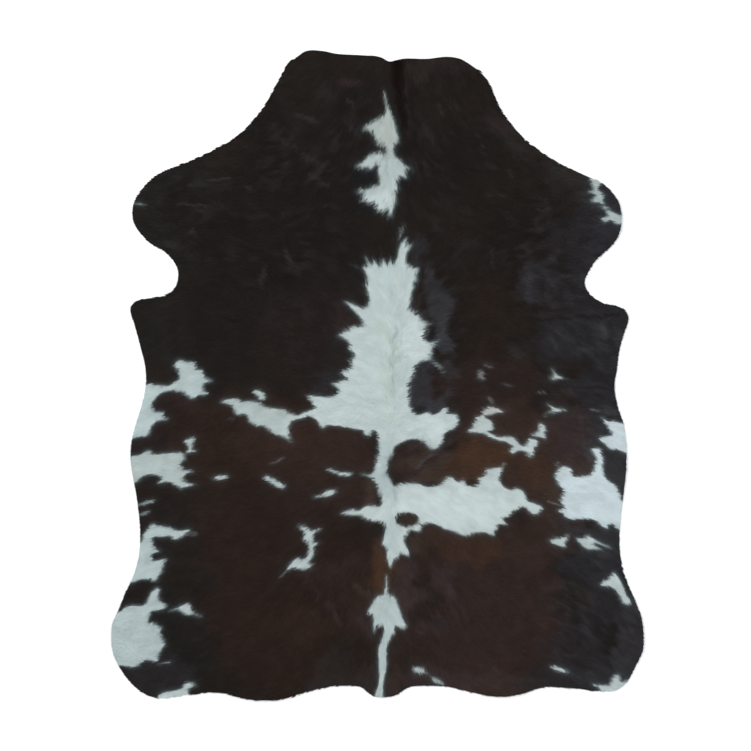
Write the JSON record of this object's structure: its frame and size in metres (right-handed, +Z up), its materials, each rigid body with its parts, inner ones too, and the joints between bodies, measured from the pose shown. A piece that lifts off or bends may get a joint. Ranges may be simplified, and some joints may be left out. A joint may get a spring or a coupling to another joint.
{
  "type": "cowhide rug",
  "caption": "Hair-on cowhide rug: one whole hide with a natural cut outline, dark brown-black coat with white markings, lying flat.",
  "frame": {"origin": "on the floor, under the middle of the hide's outline", "axes": "+Z up from the floor, +Y along the backbone towards the neck, +X towards the animal's right side as seen from above"},
  "size_m": [1.8, 2.2, 0.0099],
  "materials": {
    "hair_on_hide": "short lying hair, dark brown-black with cool white markings, over a suede underside"
  },
  "bodies": {
    "root": {"hide": "hair_on_hide"}
  },
  "joints": []
}
